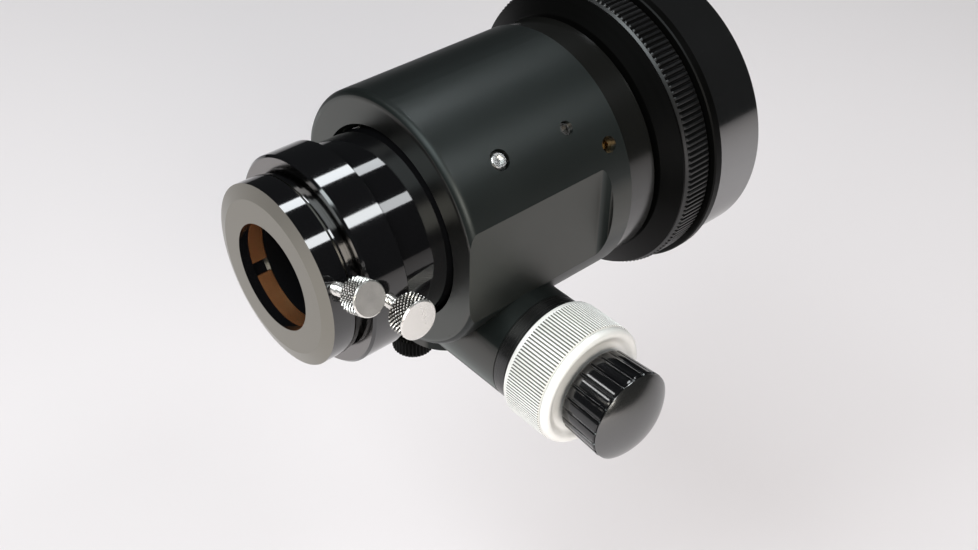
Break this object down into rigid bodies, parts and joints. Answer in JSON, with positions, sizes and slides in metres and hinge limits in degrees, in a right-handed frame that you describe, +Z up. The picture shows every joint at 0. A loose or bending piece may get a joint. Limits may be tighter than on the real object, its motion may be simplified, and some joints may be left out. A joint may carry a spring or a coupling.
{
  "type": "telescope focuser",
  "caption": "Rotating dual-speed telescope focuser: a drawtube with a clamped eyepiece adapter rolls through a black body on a driven shaft, behind a knurled lock ring.",
  "frame": {"origin": "centre of the rear face, where the focuser meets the telescope tube", "axes": "+Y along the optical axis from the eyepiece towards the telescope, +X towards the dual-speed knobs, +Z up, away from the shaft housing"},
  "size_m": [0.1506, 0.1503, 0.1067],
  "materials": {
    "gloss_black": "gloss black anodised",
    "satin_black": "satin black anodised",
    "matte_black": "bead-blasted matte black",
    "silver": "clear anodised, fine straight knurl",
    "nickel": "nickel plated, diamond knurl",
    "brass": "bare brass",
    "steel": "bright stainless steel",
    "dark_steel": "black oxide",
    "nylon": "natural nylon",
    "fluted_black": "gloss black"
  },
  "bodies": {
    "telescope_side": {"tube_ring": "satin_black", "tube_adapter": "satin_black", "retaining_ring": "satin_black", "rotator_washer": "nylon"},
    "lock_ring": {"lock_ring": "satin_black"},
    "focuser": {"focuser_body": "matte_black", "body_collar": "matte_black", "rotator_flange": "matte_black", "bearing_carrier_right": "satin_black", "bearing_carrier_left": "satin_black", "front_right_axle": "steel", "rear_right_axle": "steel", "front_left_axle": "steel", "rear_left_axle": "steel", "front_carrier_screws": "steel", "rear_carrier_screws": "dark_steel", "retaining_screws": "brass", "shaft_cradle": "satin_black", "shaft_bushing_right": "brass", "shaft_bushing_left": "brass", "bearing_collar_right": "satin_black", "bearing_collar_left": "satin_black", "reduction_race": "steel", "housing_cap": "matte_black", "housing_cap_screws": "dark_steel"},
    "tension_screw": {"tension_screw": "dark_steel"},
    "lock_knob": {"lock_knob": "satin_black", "brake_pad": "nylon"},
    "drawtube": {"drawtube": "gloss_black", "track_strip": "steel", "visual_back": "gloss_black", "back_compression_ring": "brass", "front_baffle": "matte_black", "rear_baffle": "matte_black"},
    "back_thumbscrew": {"back_thumbscrew": "nickel"},
    "eyepiece_adapter": {"adapter_body": "gloss_black", "adapter_compression_ring": "brass"},
    "adapter_thumbscrew": {"adapter_thumbscrew": "nickel"},
    "drive_shaft": {"drive_shaft": "steel", "coarse_knob_right": "silver", "coarse_knob_left": "silver", "left_knob_disc": "silver", "ball_carrier": "steel", "reduction_balls": "steel"},
    "fine_knob": {"fine_knob": "fluted_black", "fine_knob_cap": "satin_black", "fine_shaft": "steel"},
    "front_right_bearing": {"front_right_bearing": "steel"},
    "rear_right_bearing": {"rear_right_bearing": "steel"},
    "front_left_bearing": {"front_left_bearing": "steel"},
    "rear_left_bearing": {"rear_left_bearing": "steel"}
  },
  "joints": [
    {"name": "focuser_rotation", "type": "hinge", "parent": "telescope_side", "child": "focuser", "pos_m": [0, -0.04, 0], "axis": [0, 1, 0], "continuous": true},
    {"name": "lock_ring_turn", "type": "hinge", "parent": "telescope_side", "child": "lock_ring", "pos_m": [0, -0.028, 0], "axis": [0, 1, 0], "range_deg": [-90, 0]},
    {"name": "focus", "type": "slide", "parent": "focuser", "child": "drawtube", "axis": [0, -1, 0], "range_m": [-0.0155, 0.03]},
    {"name": "coarse_spin", "type": "hinge", "parent": "focuser", "child": "drive_shaft", "pos_m": [0, -0.0879, -0.0325], "axis": [1, 0, 0], "range_deg": [-280, 540]},
    {"name": "fine_spin", "type": "hinge", "parent": "focuser", "child": "fine_knob", "pos_m": [0.07, -0.0879, -0.0325], "axis": [1, 0, 0], "range_deg": [-2790, 5400]},
    {"name": "front_right_roll", "type": "hinge", "parent": "focuser", "child": "front_right_bearing", "pos_m": [0.02293, -0.1014, 0.02293], "axis": [-0.7071, 0, 0.7071], "range_deg": [-225, 435]},
    {"name": "rear_right_roll", "type": "hinge", "parent": "focuser", "child": "rear_right_bearing", "pos_m": [0.02293, -0.0749, 0.02293], "axis": [-0.7071, 0, 0.7071], "range_deg": [-225, 435]},
    {"name": "front_left_roll", "type": "hinge", "parent": "focuser", "child": "front_left_bearing", "pos_m": [-0.02293, -0.1014, 0.02293], "axis": [-0.7071, 0, -0.7071], "range_deg": [-225, 435]},
    {"name": "rear_left_roll", "type": "hinge", "parent": "focuser", "child": "rear_left_bearing", "pos_m": [-0.02293, -0.0749, 0.02293], "axis": [-0.7071, 0, -0.7071], "range_deg": [-225, 435]},
    {"name": "adapter_slide", "type": "slide", "parent": "drawtube", "child": "eyepiece_adapter", "axis": [0, -1, 0], "range_m": [0, 0.025]},
    {"name": "back_thumbscrew_turn", "type": "hinge", "parent": "drawtube", "child": "back_thumbscrew", "pos_m": [0.04097, -0.1334, 0.00438], "axis": [0.9943, 0, 0.1063], "range_deg": [0, 720]},
    {"name": "adapter_thumbscrew_turn", "type": "hinge", "parent": "eyepiece_adapter", "child": "adapter_thumbscrew", "pos_m": [0.03666, -0.1454, 0.01444], "axis": [0.9304, 0, 0.3665], "range_deg": [0, 720]},
    {"name": "lock_knob_turn", "type": "hinge", "parent": "focuser", "child": "lock_knob", "pos_m": [-0.005, -0.0978, -0.0547], "axis": [0, 0, 1], "range_deg": [-180, 180]},
    {"name": "tension_turn", "type": "hinge", "parent": "focuser", "child": "tension_screw", "pos_m": [0, -0.0879, -0.046], "axis": [0, 0, 1], "range_deg": [-180, 180]}
  ],
  "couplings": [
    {"joint": "coarse_spin", "follows": "focus", "rad_per_m": 312.5},
    {"joint": "fine_spin", "follows": "focus", "rad_per_m": 3125},
    {"joint": "front_right_roll", "follows": "focus", "rad_per_m": 250},
    {"joint": "rear_right_roll", "follows": "focus", "rad_per_m": 250},
    {"joint": "front_left_roll", "follows": "focus", "rad_per_m": 250},
    {"joint": "rear_left_roll", "follows": "focus", "rad_per_m": 250}
  ]
}
